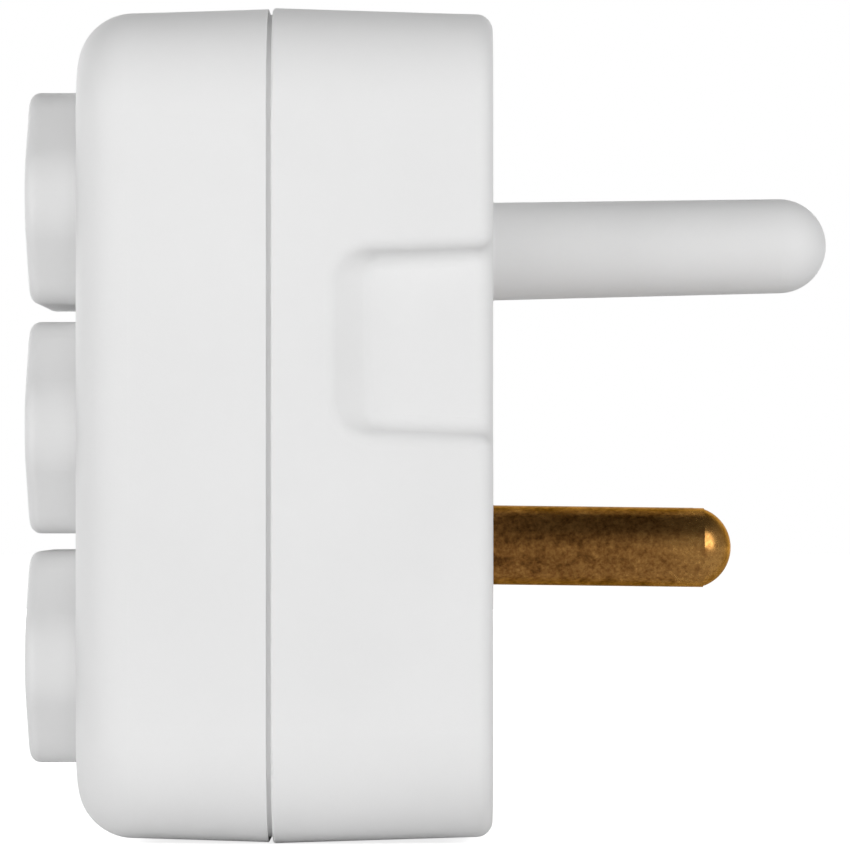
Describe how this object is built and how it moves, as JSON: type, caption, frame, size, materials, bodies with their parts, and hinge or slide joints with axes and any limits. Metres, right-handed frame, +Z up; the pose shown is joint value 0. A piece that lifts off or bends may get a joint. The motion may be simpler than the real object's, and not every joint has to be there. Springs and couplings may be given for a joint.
{
  "type": "multi socket adapter",
  "caption": "Plug-in adapter with a large round-pin wall plug on the back and shuttered two-pin outlets in raised elongated hexagonal collars on the front.",
  "frame": {"origin": "centre of the back face that lies against the wall socket, midway across the width and at half the height of the housing", "axes": "+X out of the back face along the plug pins, Y across the width, +Z up towards the earth pin"},
  "size_m": [0.0732, 0.0552, 0.0754],
  "materials": {
    "housing_plastic": "satin white moulding",
    "carrier_plastic": "matt grey heat-resistant moulding",
    "shutter_plastic": "smooth off-white moulding",
    "pin_brass": "turned, dull and slightly tarnished",
    "strip_brass": "rolled strip",
    "clip_bronze": "rolled spring strip",
    "rivet_brass": "headed",
    "spring_steel": "drawn wire",
    "screw_steel": "bright zinc plate"
  },
  "bodies": {
    "housing": {"front_shell": "housing_plastic", "rear_shell": "housing_plastic", "contact_carrier": "carrier_plastic", "line_pin": "pin_brass", "line_bus": "strip_brass", "line_clip_1": "clip_bronze", "line_clip_2": "clip_bronze", "line_clip_3": "clip_bronze", "line_rivet_1": "rivet_brass", "line_rivet_2": "rivet_brass", "line_rivet_3": "rivet_brass", "neutral_pin": "pin_brass", "neutral_bus": "strip_brass", "neutral_clip_1": "clip_bronze", "neutral_clip_2": "clip_bronze", "neutral_clip_3": "clip_bronze", "neutral_rivet_1": "rivet_brass", "neutral_rivet_2": "rivet_brass", "neutral_rivet_3": "rivet_brass", "shutter_spring_1": "spring_steel", "shutter_spring_2": "spring_steel", "shutter_spring_3": "spring_steel", "case_screw_1": "screw_steel", "case_screw_2": "screw_steel", "case_screw_3": "screw_steel", "case_screw_4": "screw_steel"},
    "shutter_1": {"shutter_1": "shutter_plastic"},
    "shutter_2": {"shutter_2": "shutter_plastic"},
    "shutter_3": {"shutter_3": "shutter_plastic"}
  },
  "joints": [
    {"name": "shutter_1_slide", "type": "slide", "parent": "housing", "child": "shutter_1", "axis": [0, 0, 1], "range_m": [0, 0.0052], "stiffness_N_per_m": 80, "springref_m": -0.004, "deforming": ["shutter_spring_1"]},
    {"name": "shutter_2_slide", "type": "slide", "parent": "housing", "child": "shutter_2", "axis": [0, 0, 1], "range_m": [0, 0.0052], "stiffness_N_per_m": 80, "springref_m": -0.004, "deforming": ["shutter_spring_2"]},
    {"name": "shutter_3_slide", "type": "slide", "parent": "housing", "child": "shutter_3", "axis": [0, 0, 1], "range_m": [0, 0.0052], "stiffness_N_per_m": 80, "springref_m": -0.004, "deforming": ["shutter_spring_3"]}
  ]
}
